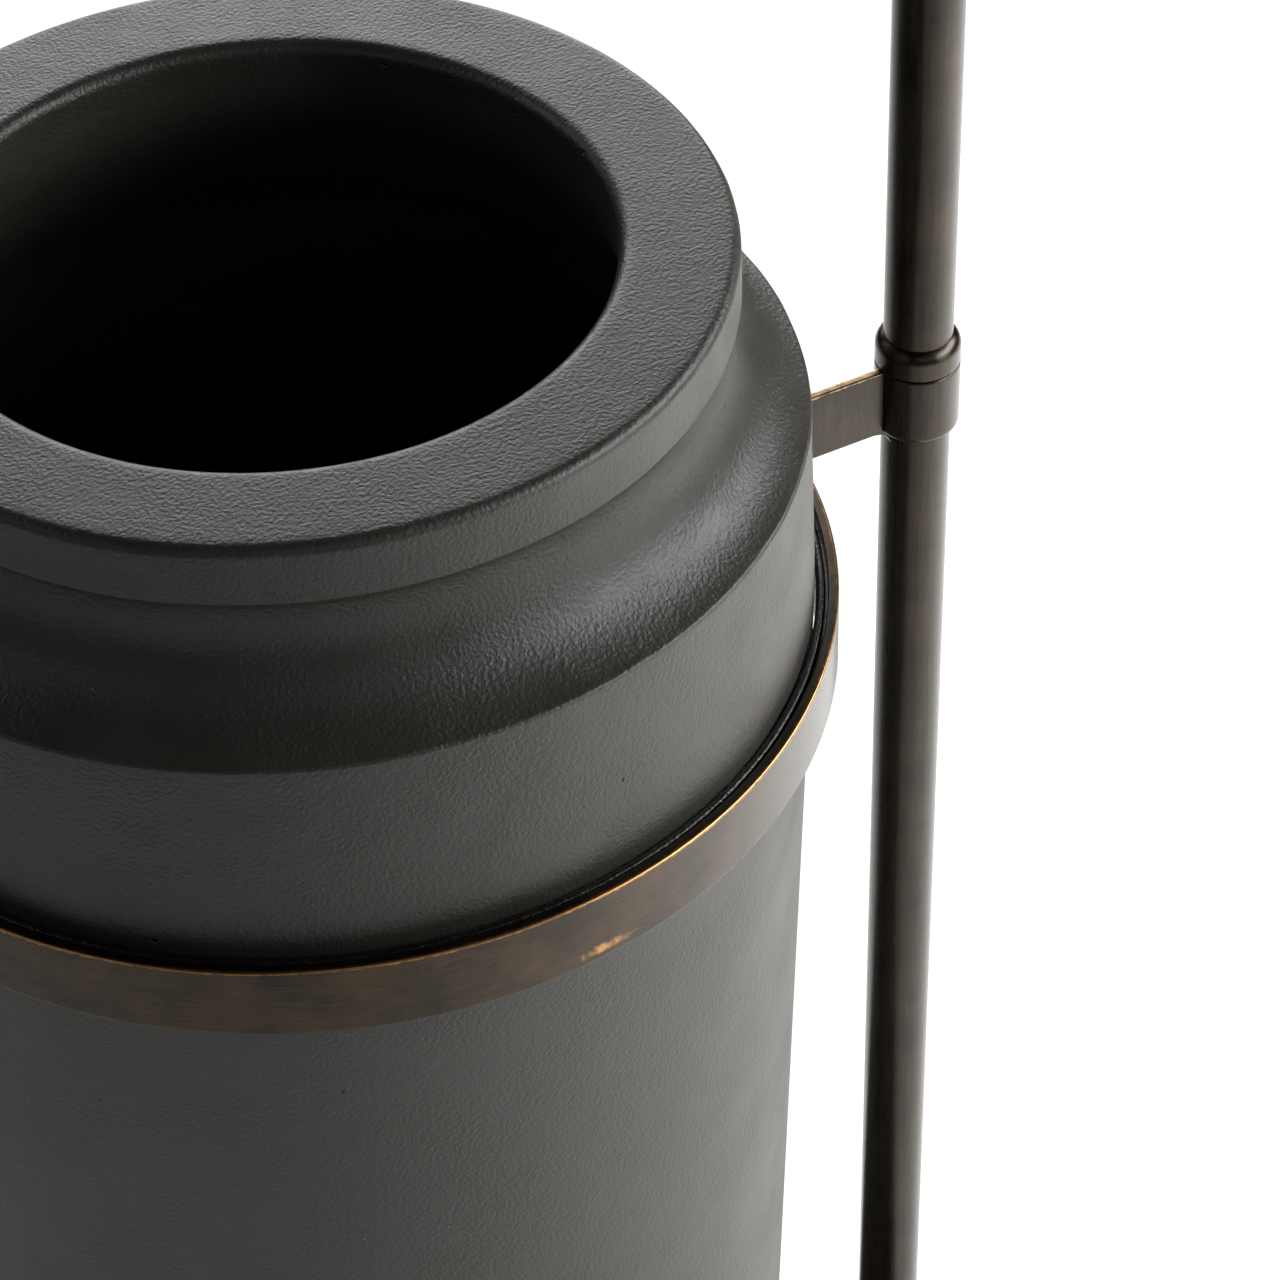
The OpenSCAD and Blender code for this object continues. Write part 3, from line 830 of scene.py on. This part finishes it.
def make_liner(enamel):
    """Spun sheet-steel can: rounded foot, two rolled grooves in the side, and a wired rim."""
    radius = 62 * mm
    sheet = 1.2 * mm
    bead = 2.2 * mm
    bead_z = liner_top - bead
    outer_wall = np.linspace(liner_bottom + 8 * mm, bead_z - bead, 120)
    grooves = (liner_bottom + 60 * mm, pivot - 70 * mm)
    groove = sum(np.exp(-((outer_wall - z) / (2.2 * mm)) ** 2) for z in grooves)
    outside = np.column_stack([radius - 0.7 * mm * groove, outer_wall])
    inside = outside[::-1] - [sheet, 0]
    roll = arc((radius + 0.6 * mm, bead_z), bead, -105, 215, 30)
    foot_round = 4 * mm
    outline = np.vstack([
        eased([(0, liner_bottom, 0), (radius, liner_bottom, foot_round), (*outside[0], 0)], False)[:-1],
        outside,
        roll,
        inside,
        eased([(*inside[-1], 0), (radius - sheet, liner_bottom + sheet, foot_round - sheet),
               (0, liner_bottom + sheet, 0)], False)[1:]])
    return make_piece("liner_can", [skin(revolve(filled(outline, 12 * mm, False), 192), False)], enamel)


def make_rivets(zinc):
    """Four domed rivets that hold the ears: a low dome outside the ear and a flat head inside the liner."""
    radius = 62 * mm
    head = 3 * mm
    shank = 1.6 * mm
    foot = radius - 2.6 * mm
    outside = radius + 1.6 * mm
    dome = np.radians(np.linspace(0, 90, 9))
    skins = []
    for side in (90, 270):
        for shift in (-9 * mm, 9 * mm):
            turn = math.radians(side) + math.asin(shift / radius)
            outline = filled(np.vstack([
                eased([(0, foot, 0),
                       (head, foot, 0.4 * mm),
                       (head, radius - 1.4 * mm, 0),
                       (shank, radius - 1.4 * mm, 0),
                       (shank, outside, 0)], False),
                np.column_stack([head * np.cos(dome), outside + 1.2 * mm * np.sin(dome)])]),
                1.5 * mm, False)
            local = revolve(outline, 32)
            out = local[..., 2]
            across = local[..., 0]
            x = out * math.cos(turn) - across * math.sin(turn)
            y = out * math.sin(turn) + across * math.cos(turn)
            z = pivot + local[..., 1]
            skins.append(skin(np.stack([x, y, z], -1), False))
    return make_piece("domed_rivets", skins, zinc)


def make_bail(wire_metal):
    """Wire handle: a round section carried from one ear, through a tight bend, and round half a circle.

    The half circle lies at the bail's resting angle below level, turned about the pivot line along Y.
    """
    wire_r = 2 * mm
    ring_r = half_width("bail") - wire_r
    bend = 3 * mm
    stub = 63.9 * mm
    drop = math.radians(21.5)
    corner = np.radians(np.linspace(0, 90, 10))
    join = math.asin(bend / ring_r)
    into = np.column_stack([-bend + bend * np.cos(corner), ring_r - bend + bend * np.sin(corner)])
    sweep = np.linspace(math.pi / 2 + join, 3 * math.pi / 2 - join, 140)
    half = np.column_stack([ring_r * np.cos(sweep), ring_r * np.sin(sweep)])
    path = np.vstack([[(0, stub)], into, half, (into * [1, -1])[::-1], [(0, -stub)]])
    ahead = np.gradient(path, axis=0)
    ahead /= np.linalg.norm(ahead, axis=1)[:, None]
    side = np.column_stack([ahead[:, 1], -ahead[:, 0]])
    t = np.linspace(0, 2 * math.pi, 24, endpoint=False)
    flat_x = path[:, :1] + wire_r * np.cos(t) * side[:, :1]
    flat_y = path[:, 1:] + wire_r * np.cos(t) * side[:, 1:]
    lift = np.broadcast_to(wire_r * np.sin(t), flat_x.shape)
    x = flat_x * math.cos(drop) - lift * math.sin(drop)
    z = pivot + flat_x * math.sin(drop) + lift * math.cos(drop)
    return make_piece("bail_wire", [skin(capped(np.stack([x, flat_y, z], -1)), False)], wire_metal)


# ---------------------------------------------------------------- studio
def make_camera():
    """A long lens, close in: it looks down into the mouth, with the post behind and to the right."""
    azimuth, elevation, roll = math.radians(-28.12), math.radians(41.86), math.radians(-1.28)
    distance = 1.0056
    aim = Vector((0.0588, -0.0568, hoop_top))
    back = Vector((math.sin(azimuth) * math.cos(elevation), -math.cos(azimuth) * math.cos(elevation),
                   math.sin(elevation)))
    data = bpy.data.cameras.new("camera")
    data.sensor_width = 36
    data.lens = 124.1
    data.clip_start, data.clip_end = 0.05, 60
    camera = bpy.data.objects.new("camera", data)
    bpy.context.scene.collection.objects.link(camera)
    turn = (-back).to_track_quat("-Z", "Y").to_matrix().to_4x4()
    camera.matrix_world = Matrix.Translation(aim + back * distance) @ turn @ Matrix.Rotation(roll, 4, "Z")
    bpy.context.scene.camera = camera


def softbox(name, turn, elevation, power):
    """A square softbox 2.2 m from the bin, at a turn about +Z from +X and an elevation, both in degrees."""
    turn, elevation = math.radians(turn), math.radians(elevation)
    away = Vector((math.cos(turn) * math.cos(elevation), math.sin(turn) * math.cos(elevation),
                   math.sin(elevation)))
    middle = Vector((0, 0, 0.4))
    data = bpy.data.lights.new(name, "AREA")
    data.shape = "SQUARE"
    data.size = 1.2
    data.energy = power
    lamp = bpy.data.objects.new(name, data)
    bpy.context.scene.collection.objects.link(lamp)
    lamp.location = middle + 2.2 * away
    lamp.rotation_euler = away.to_track_quat("Z", "Y").to_euler()


def overhead(name, turn, power):
    """A softbox 0.9 m above the floor that faces straight down, 1.15 m from the bin at that turn."""
    turn = math.radians(turn)
    data = bpy.data.lights.new(name, "AREA")
    data.shape = "SQUARE"
    data.size = 0.9
    data.energy = power
    lamp = bpy.data.objects.new(name, data)
    bpy.context.scene.collection.objects.link(lamp)
    lamp.location = (1.15 * math.cos(turn), 1.15 * math.sin(turn), 0.9)


def make_studio():
    """White floor, and softboxes mostly behind and to the right, so that the left falls into shade.

    The overheads light the floor, and the casting and the metal mirror it.
    """
    reach = 20.0
    square = np.array([(-reach, -reach, 0), (reach, -reach, 0), (reach, reach, 0), (-reach, reach, 0)])
    floor = make_piece("floor", [(square, np.array([[0, 1, 2, 3]]))], studio_floor())
    softbox("right_back_softbox", 60, 9, 11)
    softbox("high_right_back_softbox", 60, 28, 6)
    softbox("high_back_softbox", 80, 28, 8)
    softbox("left_back_softbox", 140, 28, 5)
    softbox("front_right_softbox", -50, 9, 9)
    softbox("high_front_right_softbox", -40, 28, 2.5)
    softbox("high_front_softbox", -100, 28, 1.5)
    overhead("right_overhead", -20, 23)
    overhead("front_right_overhead", -40, 12)
    overhead("left_overhead", -165, 1.5)
    overhead("back_overhead", 60, 5.5)
    world = bpy.data.worlds.new("studio_room")
    world.use_nodes = True
    tree = world.node_tree
    tree.nodes.clear()
    seen = add(tree, "ShaderNodeLightPath").outputs["Is Camera Ray"]
    strength = add(tree, "ShaderNodeMapRange", {"Value": seen, "To Min": 0.01, "To Max": 0.9})
    room = add(tree, "ShaderNodeBackground", {"Color": linear("#f4f4f4"), "Strength": strength.outputs[0]})
    add(tree, "ShaderNodeOutputWorld", {"Surface": room.outputs[0]})
    bpy.context.scene.world = world
    bpy.context.scene.view_settings.view_transform = "Standard"


# ---------------------------------------------------------------- put together
def fit_piece(piece, body, slot, *nodes):
    """The piece moves with its body and stands for its CAD nodes; slot is not used."""
    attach(piece, body)
    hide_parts(*nodes)


def finish_nodes(material, *nodes):
    """CAD nodes that keep their shape get a finished material."""
    for name in nodes:
        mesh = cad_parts[name].data
        mesh.materials.clear()
        mesh.materials.append(material)


make_camera()
make_studio()

bar_metal = bronze("brushed_bronze_bar", "#191108", "#44341e", (9 * mm, 9 * mm, 0.25 * mm))
tube_metal = bronze("patinated_bronze_tube", "#28211a", "#3c3429", (1.2 * mm, 1.2 * mm, 30 * mm), "#a58a66")
rubber = moulded_rubber()
enamel = black_enamel()
zinc = zinc_plate()
brass = turned_brass()
wire_metal = drawn_wire()

fit_piece(make_vessel(), "vessel", "cast_stone", "vessel")
fit_piece(make_liner_seat(rubber), "vessel", "rubber", "liner_seat")
fit_piece(make_hoop(bar_metal), "stand", "bronze", "hoop")
fit_piece(make_arm(tube_metal), "stand", "bronze", "arm")
fit_piece(make_gasket(), "stand", "gasket", "gasket")
fit_piece(make_sleeve(tube_metal), "stand", "bronze", "sleeve")
fit_piece(make_collar(tube_metal), "stand", "bronze", "stop_collar")
fit_piece(make_post(tube_metal), "stand", "post", "post")
fit_piece(make_flange(tube_metal), "stand", "bronze", "post_flange")
fit_piece(make_finial(tube_metal), "stand", "bronze", "finial")
fit_piece(make_base_plate(), "stand", "base", "base_plate")
fit_piece(make_feet(rubber), "stand", "rubber", "feet")
fit_piece(make_base_mat(rubber), "stand", "rubber", "base_mat")
fit_piece(make_liner(enamel), "liner", "liner", "liner")
fit_piece(make_rivets(zinc), "liner", "fasteners", "ear_rivets")
fit_piece(make_bail(wire_metal), "bail", "wire", "bail")

finish_nodes(enamel, "liner_ears")
finish_nodes(zinc, "foot_screws", "post_bolt", "post_washer", "collar_screw", "sleeve_screw")
finish_nodes(brass, "foot_insert", "top_insert")

bpy.context.view_layer.update()
